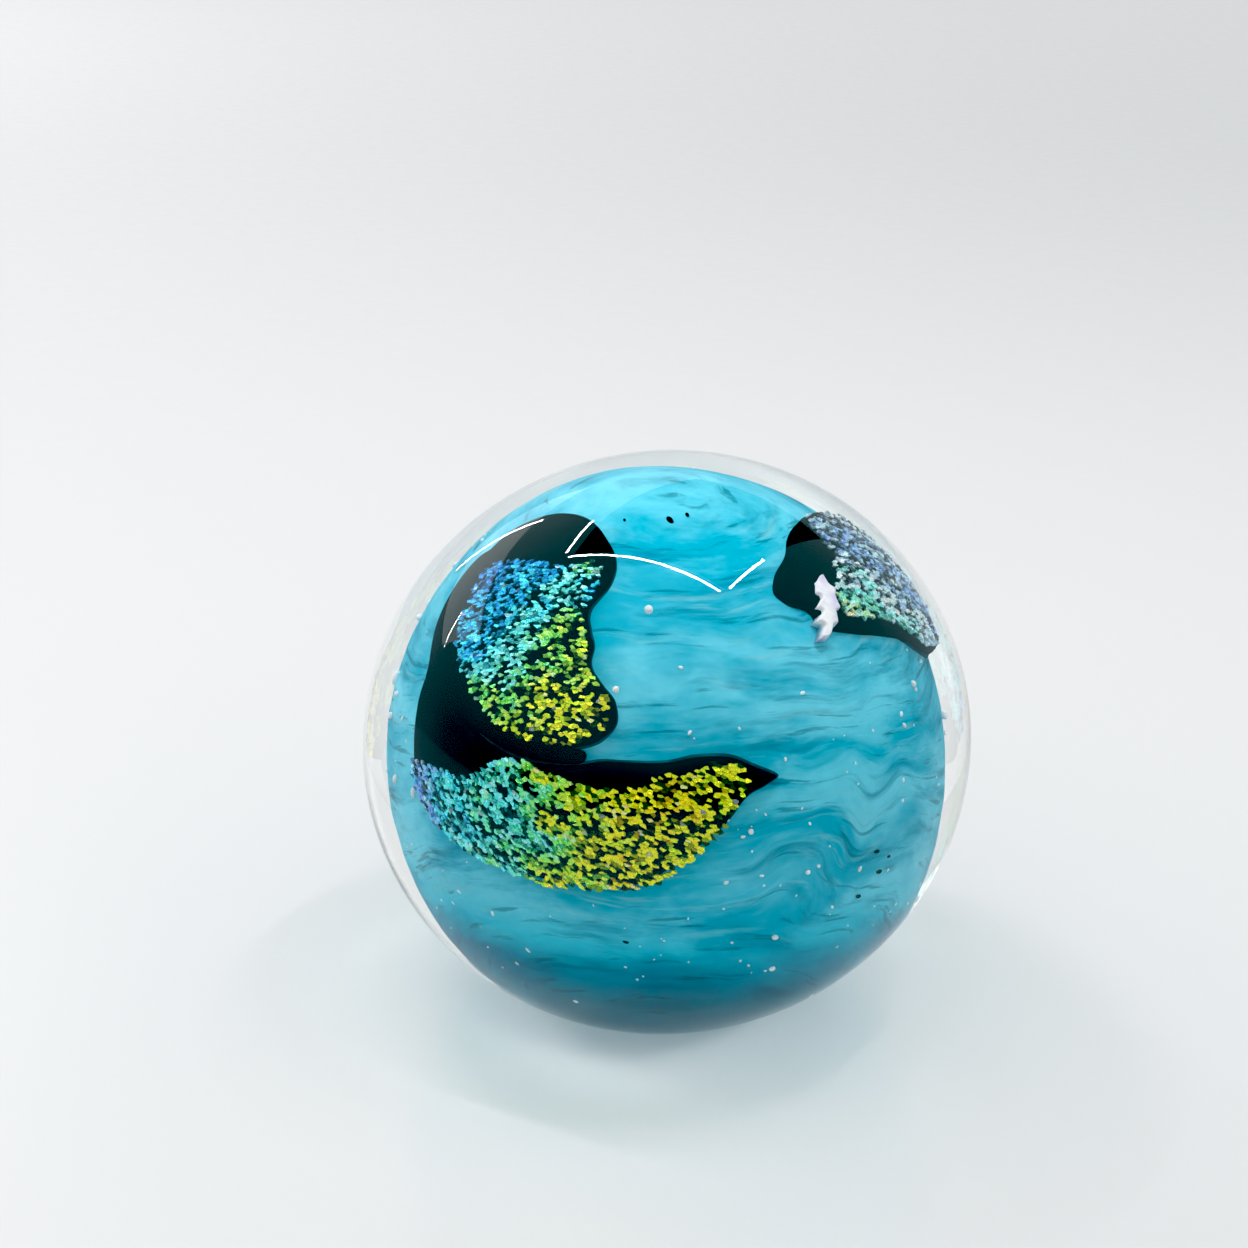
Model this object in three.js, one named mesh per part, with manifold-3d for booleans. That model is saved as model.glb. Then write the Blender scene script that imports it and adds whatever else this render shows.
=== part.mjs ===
// Solid glass paperweight. Millimetres, +Z up, front towards -Y, origin at the middle of the flat base.
//
// The glass was built up in layers on an iron rod, and each layer is a piece here:
//   clear heart        the first gather, with the stem that ran down to the rod
//   turquoise layer    the opal colour rolled round the heart, with a collar round the stem
//   chips              scraps of black glass pressed into the hot colour
//   mirror films       the metal-oxide coating on each black chip
//   pale fleck         a splinter of white glass beside one chip
//   clear casing       the thick outer gather, ground and polished flat underneath
import * as THREE from 'three';
import { mergeVertices } from 'three/addons/utils/BufferGeometryUtils.js';
import Module from 'manifold-3d';

const wasm = await Module();
wasm.setup();

// ---- Driving dimensions ----
const ballWidth = 51; // across the widest part of the casing
const ballThickness = 48.4; // along the casing's short axis
const ballLean = 12; // degrees that the short axis leans towards -X
const groundOff = 3.45; // depth of glass ground away to make the flat base
const casingWall = 9.8; // clear glass over the colour, at the widest part
const coreDrop = 0.6; // the core sagged this far below the middle of the ball
const colourWall = 2.5; // thickness of the turquoise layer
const stemRadius = 3; // the heart's stem, seen in the middle of the base
const collarWall = 2.3; // turquoise round the stem, at the base
const collarFlare = 34; // degrees from straight down at which the collar leaves the core
const chipThickness = 1.2;
const chipSink = 0.5; // how deep the chips were pressed into the colour
const filmThickness = 0.25;
const gap = 0.3; // clearance between neighbouring pieces

// ---- Fineness of the meshes ----
const casingDetail = 7;
const coreDetail = 4;
const roundSides = 32;
const samplesPerPoint = 2;

// ---- Sizes that follow ----
const degree = Math.PI / 180;
const lean = ballLean * degree;
const ballRadius = ballWidth / 2;
const shortRadius = ballThickness / 2;
const lowestReach = Math.hypot(ballRadius * Math.sin(lean), shortRadius * Math.cos(lean));
const ballHeight = lowestReach - groundOff; // height of the ball's middle
const coreHeight = ballHeight - coreDrop;
const coreRadius = ballRadius - casingWall;
const heartRadius = coreRadius - colourWall - gap;
const collarRadius = stemRadius + gap + collarWall;
const chipInner = coreRadius - chipSink;
const chipOuter = chipInner + chipThickness;
const filmInner = chipOuter + gap;
const filmOuter = filmInner + filmThickness;
const gapAngle = gap / chipInner; // radians of clearance at a chip's edge

// ---- Outlines of what lies on the core ----
// [azimuth, elevation] in degrees, seen from the core's middle. Azimuth 0 is the front, +90 is +X.
const outlines = {
  left: {
    chip: [
      [-107, 72], [-60, 75], [-36, 70], [-31, 63], [-34, 55], [-30, 50], [-26, 46], [-25, 41],
      [-20, 37], [-15, 33], [-14, 27], [-18, 22.5], [-24, 19.8], [-31, 18.4], [-40, 17.6],
      [-50, 18.4], [-60, 20.6], [-72, 23.4], [-82, 24.5], [-94, 28.5], [-103, 35], [-109, 43],
      [-117, 50], [-120, 61],
    ],
    film: [
      [-94, 47], [-74, 58], [-60, 61], [-46, 66], [-38, 62], [-37, 54], [-33, 49], [-29, 45],
      [-28, 41], [-23, 37], [-18, 33], [-17, 28], [-21, 24], [-28, 21.4], [-38, 20.2],
      [-47, 21.2], [-56, 23.6], [-66, 27], [-78, 32], [-86, 39],
    ],
  },
  lower: {
    chip: [
      [-84, 20], [-72, 20.8], [-60, 18.3], [-50, 16.1], [-40, 15.3], [-31, 16.1], [-24, 17.4],
      [-18, 19], [-12, 19.4], [-1, 19.8], [7, 21], [16, 20.4], [22, 17.6], [29, 13.4], [25, 11],
      [20, 9], [14, 2.5], [6, -4], [-2, -10.4], [-7, -13], [-14, -13.8], [-28, -15], [-39, -14.4],
      [-51, -13], [-61, -11], [-70, -8], [-77, -3], [-80, 3], [-83, 10], [-85, 16],
    ],
    film: [
      [-76, 2], [-63, 4], [-52, 6.5], [-46, 12], [-40, 14], [-32, 13], [-24, 12], [-15, 11.6],
      [-7, 12.4], [-2, 15.4], [5, 16.4], [12, 18], [18, 16.4], [18, 12], [13, 4], [7, -2],
      [-1, -8.6], [-7, -11.6], [-14, -12.4], [-28, -13.6], [-39, -13], [-51, -11.6],
      [-61, -9.4], [-69, -6.6], [-75, -2],
    ],
  },
  right: {
    chip: [
      [115, 56], [97, 61], [79, 61], [61, 60], [51, 56], [53, 51], [59, 47], [60, 42], [73, 35],
      [91, 25], [106, 13], [118, 8], [130, 14], [137, 28], [131, 44],
    ],
    film: [
      [115, 53], [104, 51], [90, 48], [78, 46], [72, 42], [78, 38], [90, 31], [103, 18],
      [116, 12], [127, 17], [132, 30], [126, 44],
    ],
  },
  back: {
    chip: [
      [168, 14], [184, 21], [202, 17], [212, 6], [207, -4], [193, -9], [182, -4],
      [170, -4], [161, 5],
    ],
    film: [
      [171, 11], [184, 17.5], [199, 14], [207, 5], [202, -1], [193, -5.5], [183, -0.5],
      [172, -0.5], [165, 5],
    ],
  },
  low_back: {
    chip: [
      [142, -10], [160, -17], [182, -19], [200, -16], [211, -9], [221, -10], [218, -21],
      [206, -31], [188, -37], [162, -33], [145, -23],
    ],
    film: [
      [146, -14], [162, -20.5], [182, -22.5], [201, -19.5], [211, -13.5], [215, -19],
      [204, -28], [188, -33.5], [164, -29.5], [149, -21.5],
    ],
  },
};

// The fleck is a torn splinter, so its edge runs straight from tooth to tooth.
const fleckOutline = [
  [79, 51.5], [71, 51.4], [66, 49.6], [67, 48.2], [61, 47.2], [62.5, 45.6], [57, 44.6],
  [59, 43], [53.5, 40.6], [58, 39.6], [63, 41.6], [64.5, 40.8], [68, 43.4], [70.5, 42.8],
  [73, 45.6], [77, 46.6], [76, 48.6],
];

// ---- Solids ----
const rodUp = new THREE.Matrix4().makeRotationX(Math.PI / 2);

/** Turns a closed three.js geometry into a solid that can be joined and cut. */
function solid(geometry) {
  geometry.deleteAttribute('normal');
  geometry.deleteAttribute('uv');
  const merged = mergeVertices(geometry, 1e-4);
  return new wasm.Manifold(
    new wasm.Mesh({
      numProp: 3,
      vertProperties: new Float32Array(merged.attributes.position.array),
      triVerts: new Uint32Array(merged.index.array),
    }),
  );
}

/** A ball round the core's middle. */
function coreBall(radius) {
  return solid(new THREE.IcosahedronGeometry(radius, coreDetail).translate(0, 0, coreHeight));
}

/** A rod on the z axis, from below the base up to the core's middle. */
function rod(radius, bottom) {
  const length = coreHeight - bottom;
  const geometry = new THREE.CylinderGeometry(radius, radius, length, roundSides);
  return solid(geometry.applyMatrix4(rodUp).translate(0, 0, bottom + length / 2));
}

/** The collar: it leaves a ball round the core at collarFlare and narrows to a radius at the base. */
function collar(ballSize, baseRadius, bottom) {
  const shoulderRadius = ballSize * Math.sin(collarFlare * degree);
  const shoulderHeight = coreHeight - ballSize * Math.cos(collarFlare * degree);
  const flare = new THREE.QuadraticBezierCurve(
    new THREE.Vector2(baseRadius, bottom),
    new THREE.Vector2(baseRadius, shoulderHeight - (shoulderRadius - baseRadius) / 4),
    new THREE.Vector2(shoulderRadius, shoulderHeight),
  );
  const profile = [
    new THREE.Vector2(0, bottom),
    ...flare.getPoints(6),
    new THREE.Vector2(0, coreHeight),
  ];
  const geometry = new THREE.LatheGeometry(profile, roundSides);
  return solid(geometry.applyMatrix4(rodUp));
}

/** Unit vector from the core's middle towards an azimuth and elevation in degrees. */
function direction([azimuth, elevation]) {
  const a = azimuth * degree;
  const e = elevation * degree;
  return new THREE.Vector3(
    Math.sin(a) * Math.cos(e),
    -Math.cos(a) * Math.cos(e),
    Math.sin(e),
  );
}

/** A smooth closed line through an outline's points, as unit vectors. */
function smoothLine(outline) {
  const curve = new THREE.CatmullRomCurve3(outline.map(direction), true, 'centripetal');
  const points = curve.getPoints(outline.length * samplesPerPoint);
  points.pop();
  return points.map((point) => point.normalize());
}

/** Moves a closed line of unit vectors outwards over the ball by an angle in radians. */
function widened(line, angle) {
  const count = line.length;
  const middle = line.reduce((sum, point) => sum.add(point), new THREE.Vector3()).normalize();
  const turn = line.reduce((sum, point, i) => {
    const next = line[(i + 1) % count];
    return sum + new THREE.Vector3().crossVectors(point, next).dot(middle);
  }, 0);
  return line.map((point, i) => {
    const before = line[(i + count - 1) % count];
    const after = line[(i + 1) % count];
    const along = new THREE.Vector3().subVectors(after, before);
    const outwards = new THREE.Vector3().crossVectors(along, point).normalize();
    return point.clone().addScaledVector(outwards, Math.sign(turn) * Math.tan(angle)).normalize();
  });
}

/** A pyramid from the core's middle through a closed line of unit vectors, out past a radius. */
function sector(line, radius) {
  const middle = line.reduce((sum, point) => sum.add(point), new THREE.Vector3()).normalize();
  const right = new THREE.Vector3(-middle.y, middle.x, 0).normalize();
  const up = new THREE.Vector3().crossVectors(middle, right);
  const reach = radius * 1.1;
  const far = line.map((point) => point.clone().multiplyScalar(reach / point.dot(middle)));
  const flat = far.map((point) => new THREE.Vector2(point.dot(right), point.dot(up)));
  const forward = !THREE.ShapeUtils.isClockWise(flat);
  const vertices = [new THREE.Vector3(), ...far];
  const faces = THREE.ShapeUtils.triangulateShape(flat, []).map((face) => face.map((i) => i + 1));
  far.forEach((point, i) => {
    const next = (i + 1) % far.length;
    faces.push(forward ? [0, next + 1, i + 1] : [0, i + 1, next + 1]);
  });
  const geometry = new THREE.BufferGeometry();
  geometry.setAttribute(
    'position',
    new THREE.Float32BufferAttribute(vertices.flatMap((point) => point.toArray()), 3),
  );
  geometry.setIndex(faces.flat());
  return solid(geometry.translate(0, 0, coreHeight));
}

/** A layer of the core between two radii, inside a closed line. */
function patch(line, inner, outer) {
  return sector(line, outer).intersect(coreBall(outer)).subtract(coreBall(inner));
}

// ---- Pieces ----
const chipNames = Object.keys(outlines);
const chipLines = chipNames.map((name) => smoothLine(outlines[name].chip));
const filmLines = chipNames.map((name) => smoothLine(outlines[name].film));
const fleckLine = fleckOutline.map(direction);

const chips = chipLines.map((line) => patch(line, chipInner, chipOuter));
const films = filmLines.map((line) => patch(line, filmInner, filmOuter));
const fleck = patch(fleckLine, filmInner, filmOuter);

const heart = coreBall(heartRadius).add(rod(stemRadius, 0));

const aboveBase = solid(
  new THREE.BoxGeometry(2 * ballWidth, 2 * ballWidth, 2 * ballWidth).translate(0, 0, ballWidth),
);

/** The turquoise layer: hollow for the heart and its stem, with a seat for each chip. */
function makeColourLayer() {
  let layer = coreBall(coreRadius).add(collar(coreRadius, collarRadius, -1));
  layer = layer.intersect(aboveBase);
  layer = layer.subtract(coreBall(heartRadius + gap));
  layer = layer.subtract(rod(stemRadius + gap, -1));
  for (const line of chipLines) {
    layer = layer.subtract(patch(widened(line, gapAngle), chipInner - gap, coreRadius + gap));
  }
  return layer;
}

/** The casing: a leaning ball ground flat, hollow for the core, the chips and the films. */
function makeCasing() {
  const ball = new THREE.IcosahedronGeometry(1, casingDetail);
  ball.scale(ballRadius, ballRadius, shortRadius).rotateY(-lean).translate(0, 0, ballHeight);
  let casing = solid(ball).intersect(aboveBase);
  casing = casing.subtract(coreBall(coreRadius + gap));
  casing = casing.subtract(collar(coreRadius + gap, collarRadius + gap, -1));
  for (const line of chipLines) {
    casing = casing.subtract(patch(widened(line, gapAngle), chipInner, chipOuter + gap));
  }
  for (const line of [...filmLines, fleckLine]) {
    casing = casing.subtract(patch(widened(line, gapAngle), chipInner, filmOuter + gap));
  }
  return casing;
}

// ---- Finishes ----
const clearGlass = new THREE.MeshStandardMaterial({
  color: 0xf2f8f8,
  roughness: 0.02,
  metalness: 0,
  transparent: true,
  opacity: 0.3,
});
const turquoiseGlass = new THREE.MeshStandardMaterial({
  color: 0x3fa3bd,
  roughness: 0.2,
  metalness: 0,
});
const blackGlass = new THREE.MeshStandardMaterial({ color: 0x060708, roughness: 0.1, metalness: 0 });
const mirrorFilm = new THREE.MeshStandardMaterial({
  color: 0x7fb42a,
  roughness: 0.25,
  metalness: 0.9,
});
const whiteGlass = new THREE.MeshStandardMaterial({ color: 0xe6e4f4, roughness: 0.3, metalness: 0 });

/** Makes a named mesh from a solid. */
function piece(name, body, material) {
  const mesh = body.getMesh();
  const geometry = new THREE.BufferGeometry();
  geometry.setAttribute('position', new THREE.BufferAttribute(mesh.vertProperties, 3));
  geometry.setIndex(new THREE.BufferAttribute(mesh.triVerts, 1));
  const made = new THREE.Mesh(geometry, material);
  made.name = name;
  return made;
}

const paperweight = new THREE.Group();
paperweight.name = 'paperweight';
paperweight.add(piece('clear_casing', makeCasing(), clearGlass));
paperweight.add(piece('turquoise_layer', makeColourLayer(), turquoiseGlass));
paperweight.add(piece('clear_heart', heart, clearGlass));
chipNames.forEach((name, i) => {
  paperweight.add(piece(`${name}_black_chip`, chips[i], blackGlass));
  paperweight.add(piece(`${name}_mirror_film`, films[i], mirrorFilm));
});
paperweight.add(piece('pale_fleck', fleck, whiteGlass));

export default paperweight;
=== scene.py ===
"""Visual model of a solid glass paperweight.

A thick clear casing lies over a streaked turquoise core. Black glass chips with a crackled mirror
film lie on the core, with small bubbles and grains round them. All lengths are in metres unless a
name says otherwise, and angles on the core are azimuth and elevation in degrees, with azimuth 0 at
the front (-Y) and +90 at +X.
"""

import logging
import math
from dataclasses import dataclass, field
from enum import Enum
from functools import cached_property

import bpy
import numpy as np
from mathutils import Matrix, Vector, geometry, noise


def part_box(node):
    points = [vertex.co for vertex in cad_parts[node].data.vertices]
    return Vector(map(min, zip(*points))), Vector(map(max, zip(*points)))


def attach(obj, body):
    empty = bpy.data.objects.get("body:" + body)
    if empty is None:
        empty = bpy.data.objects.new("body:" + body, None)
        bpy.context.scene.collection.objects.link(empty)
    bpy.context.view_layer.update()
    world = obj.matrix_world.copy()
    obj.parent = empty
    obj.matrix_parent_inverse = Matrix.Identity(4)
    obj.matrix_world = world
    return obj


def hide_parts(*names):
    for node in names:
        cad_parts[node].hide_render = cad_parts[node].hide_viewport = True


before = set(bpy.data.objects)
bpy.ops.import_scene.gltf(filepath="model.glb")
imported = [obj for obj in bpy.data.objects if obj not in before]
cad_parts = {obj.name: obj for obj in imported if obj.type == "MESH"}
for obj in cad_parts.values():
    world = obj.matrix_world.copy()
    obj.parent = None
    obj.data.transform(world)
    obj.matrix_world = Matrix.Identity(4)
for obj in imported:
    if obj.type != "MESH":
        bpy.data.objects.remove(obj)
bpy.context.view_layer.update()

BODY = "root"
MM = 0.001
NOISE_SEED = 7
Point = tuple[float, float]
Colour = tuple[float, float, float]
Stop = tuple[float, Colour]
SHARP = math.radians(50)

log = logging.getLogger("paperweight")


# ---------------------------------------------------------------- sizes


@dataclass(frozen=True)
class Ball:
    """The casing's outer form: a leaning, slightly flattened ball ground flat underneath."""

    lean: float = math.radians(12)
    ground_off: float = 3.45 * MM
    inset: float = 0.03 * MM

    @cached_property
    def radius(self) -> float:
        """Half the ball's width."""
        low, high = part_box("clear_casing")
        return (high.y - low.y) / 2 - self.inset

    @cached_property
    def reach(self) -> float:
        """Height of the ball's top above its middle."""
        low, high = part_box("clear_casing")
        return (high.z - low.z + self.ground_off) / 2 - self.inset

    @cached_property
    def height(self) -> float:
        """Height of the ball's middle above the base."""
        return self.reach - self.ground_off + self.inset

    @cached_property
    def short(self) -> float:
        """The short half axis, which leans."""
        across = self.radius * math.sin(self.lean)
        return math.sqrt(self.reach**2 - across**2) / math.cos(self.lean)

    @cached_property
    def girdle(self) -> float:
        """Half width along X of the level cut through the middle."""
        c, s = math.cos(self.lean), math.sin(self.lean)
        return 1 / math.hypot(c / self.radius, s / self.short)

    @cached_property
    def top_shift(self) -> float:
        """How far the highest point lies from the middle along X."""
        mixed = (self.radius**2 - self.short**2) * math.sin(self.lean) * math.cos(self.lean)
        return mixed / self.reach

    def at(self, rise: float, azimuth: float, swell: float = 0.0) -> Vector:
        """A point of the outer surface.

        Args:
            rise: angle above the level cut through the middle, in radians.
            azimuth: angle round the level ring, in radians.
            swell: how far the point is moved out.

        Returns:
            The point.
        """
        ring = math.cos(rise)
        lift = math.sin(rise)
        return Vector(
            (
                lift * self.top_shift + ring * (self.girdle + swell) * math.sin(azimuth),
                -ring * (self.radius + swell) * math.cos(azimuth),
                self.height + lift * (self.reach + swell),
            )
        )


@dataclass(frozen=True)
class Core:
    """The coloured core inside the casing, and the radii of what lies on it."""

    ball: Ball
    casing_wall: float = 9.8 * MM
    drop: float = 0.6 * MM
    colour_wall: float = 2.5 * MM
    stem_radius: float = 3.0 * MM
    collar_wall: float = 2.6 * MM
    flare: float = math.radians(34)
    chip_proud: float = 0.7 * MM
    chip_sink: float = 0.5 * MM

    @cached_property
    def radius(self) -> float:
        """Outer radius of the turquoise."""
        return self.ball.radius - self.casing_wall

    @cached_property
    def heart_radius(self) -> float:
        """Radius of the clear heart."""
        return self.radius - self.colour_wall

    @cached_property
    def collar_radius(self) -> float:
        """Outer radius of the turquoise collar at the base."""
        return self.stem_radius + self.collar_wall

    @cached_property
    def middle(self) -> Vector:
        """The core's middle."""
        return Vector((0, 0, self.ball.height - self.drop))

    def profile(self, radius: float, foot: float, foot_height: float, steps: int) -> list[Point]:
        """Half outline, as (radius, height), from the top of a ball down its collar to the base.

        Args:
            radius: the ball's radius.
            foot: the collar's radius at the base.
            foot_height: height at which the collar ends.
            steps: number of steps round the ball.

        Returns:
            Points from the top to the collar's end.
        """
        middle = self.middle.z
        last = math.pi - self.flare
        points = [
            (radius * math.sin(last * i / steps), middle + radius * math.cos(last * i / steps))
            for i in range(steps + 1)
        ]
        start = points[-1]
        bend = (foot, start[1] - (start[0] - foot) / 4)
        for i in range(1, 9):
            t = i / 8
            points.append(
                tuple(
                    (1 - t) ** 2 * start[k] + 2 * t * (1 - t) * bend[k] + t**2 * end
                    for k, end in enumerate((foot, foot_height))
                )
            )
        return points


def direction(azimuth: float, elevation: float) -> np.ndarray:
    """Unit vector from the core's middle towards an azimuth and elevation in degrees."""
    a, e = math.radians(azimuth), math.radians(elevation)
    return np.array([math.sin(a) * math.cos(e), -math.cos(a) * math.cos(e), math.sin(e)])


# ---------------------------------------------------------------- maps and meshes


class CoreMap:
    """An equal-area map of part of the core, in metres on the core's surface."""

    def __init__(self, core: Core, outline: list[Point]) -> None:
        """Centres the map on an outline.

        Args:
            core: the core that is mapped.
            outline: azimuth and elevation points, in degrees.
        """
        self.core = core
        rays = np.array([direction(*p) for p in outline])
        middle = rays.mean(0)
        self.out = middle / np.linalg.norm(middle)
        east = np.array([-self.out[1], self.out[0], 0.0])
        self.east = east / np.linalg.norm(east)
        self.north = np.cross(self.out, self.east)
        self.points = self.flatten(rays)

    def flatten(self, rays: np.ndarray) -> np.ndarray:
        """Maps unit vectors to the plane."""
        scale = self.core.radius * np.sqrt(2 / (1 + rays @ self.out))
        return np.stack([scale * (rays @ self.east), scale * (rays @ self.north)], 1)

    def rays(self, flat: np.ndarray) -> np.ndarray:
        """Maps points of the plane back to unit vectors.

        Args:
            flat: points of the plane, one row each.

        Returns:
            Unit vectors from the core's middle.
        """
        p = flat / self.core.radius
        square = (p**2).sum(1, keepdims=True)
        side = p[:, :1] * self.east + p[:, 1:] * self.north
        return self.out * (1 - square / 2) + side * np.sqrt(1 - square / 4)

    def raise_up(self, flat: np.ndarray, radius: np.ndarray) -> np.ndarray:
        """Places points of the plane in space, each at its radius from the core's middle."""
        return np.array(self.core.middle) + self.rays(flat) * radius[:, None]


def smooth_ring(points: np.ndarray, steps: int) -> np.ndarray:
    """A closed Catmull-Rom curve through points.

    Args:
        points: the points, one row each.
        steps: number of steps between two points.

    Returns:
        The curve's points.
    """
    before, after, beyond = np.roll(points, 1, 0), np.roll(points, -1, 0), np.roll(points, -2, 0)
    parts = []
    for k in range(steps):
        t = k / steps
        parts.append(
            0.5
            * (
                2 * points
                + (after - before) * t
                + (2 * before - 5 * points + 4 * after - beyond) * t**2
                + (3 * points - before - 3 * after + beyond) * t**3
            )
        )
    return np.stack(parts, 1).reshape(-1, points.shape[1])


def clockwise(ring: np.ndarray) -> bool:
    """True if a closed ring of flat points runs clockwise."""
    after = np.roll(ring, -1, 0)
    return float((ring[:, 0] * after[:, 1] - after[:, 0] * ring[:, 1]).sum()) < 0


def widened(ring: np.ndarray, width: float) -> np.ndarray:
    """A closed ring moved outwards by a width, or inwards if it is negative.

    Args:
        ring: the ring's flat points.
        width: how far it is moved.

    Returns:
        The moved ring.
    """
    along = np.roll(ring, -1, 0) - np.roll(ring, 1, 0)
    out = np.stack([along[:, 1], -along[:, 0]], 1)
    out /= np.maximum(np.linalg.norm(out, axis=1, keepdims=True), 1e-12)
    return ring + out * width * (-1 if clockwise(ring) else 1)


def inside(points: np.ndarray, ring: np.ndarray) -> np.ndarray:
    """Which points lie inside a closed ring.

    Args:
        points: the points, one row each.
        ring: the ring's flat points.

    Returns:
        True or false for each point.
    """
    x, y = points[:, :1], points[:, 1:]
    ax, ay = ring[:, 0], ring[:, 1]
    bx, by = np.roll(ax, -1), np.roll(ay, -1)
    spans = (ay > y) != (by > y)
    rise = np.where(by == ay, 1e-30, by - ay)
    crossing = ax + (y - ay) * (bx - ax) / rise
    return (spans & (x < crossing)).sum(1) % 2 == 1


def edge_distance(points: np.ndarray, ring: np.ndarray) -> np.ndarray:
    """Distance from each point to a closed ring.

    Args:
        points: the points, one row each.
        ring: the ring's flat points.

    Returns:
        One distance for each point.
    """
    a = ring[None]
    step = np.roll(ring, -1, 0)[None] - a
    to = points[:, None] - a
    share = (to * step).sum(2) / np.maximum((step**2).sum(2), 1e-30)
    nearest = a + np.clip(share, 0, 1)[..., None] * step
    return np.linalg.norm(points[:, None] - nearest, axis=2).min(1)


def new_piece(name: str, vertices: np.ndarray, faces: list, smooth: bool = True) -> bpy.types.Object:
    """Makes a mesh object.

    Args:
        name: the piece's name.
        vertices: its points.
        faces: its faces, as lists of point numbers.
        smooth: whether the faces are shaded smooth.

    Returns:
        The object, linked to the scene.
    """
    mesh = bpy.data.meshes.new(name)
    mesh.from_pydata([tuple(v) for v in vertices], [], faces)
    mesh.polygons.foreach_set("use_smooth", [smooth] * len(mesh.polygons))
    mesh.validate()
    mesh.update()
    piece = bpy.data.objects.new(name, mesh)
    bpy.context.scene.collection.objects.link(piece)
    return piece


def revolve(rings: list[list[Vector]], first: Vector, last: Vector) -> tuple[list, list]:
    """A closed skin over rings of equal length, with a pole at each end.

    Args:
        rings: rings of points, from the first pole to the last.
        first: the pole before the first ring.
        last: the pole after the last ring.

    Returns:
        The points and the faces.
    """
    sides = len(rings[0])
    points = [first, *(p for ring in rings for p in ring), last]
    faces = []
    for i in range(sides):
        j = (i + 1) % sides
        faces.append((0, 1 + i, 1 + j))
        for k in range(len(rings) - 1):
            a, b = 1 + k * sides, 1 + (k + 1) * sides
            faces.append((a + i, b + i, b + j, a + j))
        end = 1 + (len(rings) - 1) * sides
        faces.append((end + i, len(points) - 1, end + j))
    return points, faces


def level_ring(radius: float, height: float, sides: int) -> list[Vector]:
    """A level ring round the z axis.

    Args:
        radius: its radius.
        height: its height.
        sides: its number of points.

    Returns:
        Its points.
    """
    turn = 2 * math.pi / sides
    return [
        Vector((radius * math.sin(i * turn), -radius * math.cos(i * turn), height))
        for i in range(sides)
    ]


def blob(radius: float, stretch: float, sides: int = 10) -> tuple[list[Vector], list]:
    """A small ball, stretched along z, round the origin.

    Args:
        radius: its radius.
        stretch: its length over its width.
        sides: points in each ring.

    Returns:
        Its points and its faces.
    """
    rings = [
        [
            Vector((p.x, p.y, p.z * stretch))
            for p in level_ring(
                radius * math.sin(math.pi * k / 7), radius * math.cos(math.pi * k / 7), sides
            )
        ]
        for k in range(1, 7)
    ]
    return revolve(rings, Vector((0, 0, radius * stretch)), Vector((0, 0, -radius * stretch)))


def scatter(name: str, blobs: list[tuple[Vector, float, float, Vector]]) -> bpy.types.Object:
    """Joins many small balls into one piece.

    Args:
        name: the piece's name.
        blobs: place, radius, stretch and long axis of each ball.

    Returns:
        The piece.
    """
    points: list[Vector] = []
    faces: list[tuple[int, ...]] = []
    for place, radius, stretch, axis in blobs:
        own, skin = blob(radius, stretch)
        turn = Vector((0, 0, 1)).rotation_difference(axis)
        faces.extend(tuple(i + len(points) for i in face) for face in skin)
        points.extend(place + turn @ p for p in own)
    return new_piece(name, points, faces)


def fit(piece: bpy.types.Object, material: bpy.types.Material, slot: str, *nodes: str) -> None:
    """Dresses a piece, puts it on the body and lets it stand for its CAD nodes.

    Args:
        piece: the piece.
        material: its material.
        slot: not used.
        nodes: the CAD nodes that the piece stands for.
    """
    piece.data.materials.append(material)
    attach(piece, BODY)
    if nodes:
        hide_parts(*nodes)
    log.info("%s: %d faces", piece.name, len(piece.data.polygons))


# ---------------------------------------------------------------- shader building


class Wiring:
    """A thin helper for laying nodes in a node tree."""

    def __init__(self, tree: bpy.types.NodeTree) -> None:
        """Keeps the tree that the nodes go into."""
        self.tree = tree

    def add(self, kind: str, settings: dict | None = None, **sockets: object) -> bpy.types.Node:
        """Adds a node.

        Args:
            kind: the node's type, without the ShaderNode prefix.
            settings: attributes to set on the node.
            sockets: values or output sockets for its inputs, with _ for a space in a name.

        Returns:
            The node.
        """
        prefix = "" if kind.startswith("NodeGroup") else "ShaderNode"
        node = self.tree.nodes.new(prefix + kind)
        for key, value in (settings or {}).items():
            setattr(node, key, value)
        for key, value in sockets.items():
            name = key.replace("_", " ")
            socket = node.inputs[int(key[1:])] if key[1:].isdigit() else node.inputs[name]
            if isinstance(value, bpy.types.NodeSocket):
                self.tree.links.new(value, socket)
            else:
                socket.default_value = value
        return node

    def ramp(self, source: bpy.types.NodeSocket, stops: tuple[Stop, ...]) -> bpy.types.NodeSocket:
        """Turns a value into a colour.

        Args:
            source: the value.
            stops: place and colour of each stop.

        Returns:
            The colour output.
        """
        node = self.add("ValToRGB", Fac=source)
        elements = node.color_ramp.elements
        while len(elements) < len(stops):
            elements.new(0.5)
        for element, (place, colour) in zip(elements, stops):
            element.position = place
            element.color = (*colour, 1)
        return node.outputs["Color"]

    def math(self, operation: str, first: object, second: object = 0.0) -> bpy.types.NodeSocket:
        """Combines two values."""
        return self.add("Math", {"operation": operation}, _0=first, _1=second).outputs[0]

    def spread(self, value: object, width: float, low: float) -> bpy.types.NodeSocket:
        """Turns a value from 0 to 1 into one from low to low plus width."""
        return self.math("ADD", self.math("MULTIPLY", value, width), low)

    def blend(self, share: object, first: object, second: object, way: str = "MIX") -> bpy.types.NodeSocket:
        """Blends two colours."""
        node = self.add("MixRGB", {"blend_type": way}, Fac=share, Color1=first, Color2=second)
        return node.outputs["Color"]


class Group(Enum):
    """The shared shader groups."""

    WISPS = "glass_wisps"
    MOTTLE = "glass_mottle"


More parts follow.
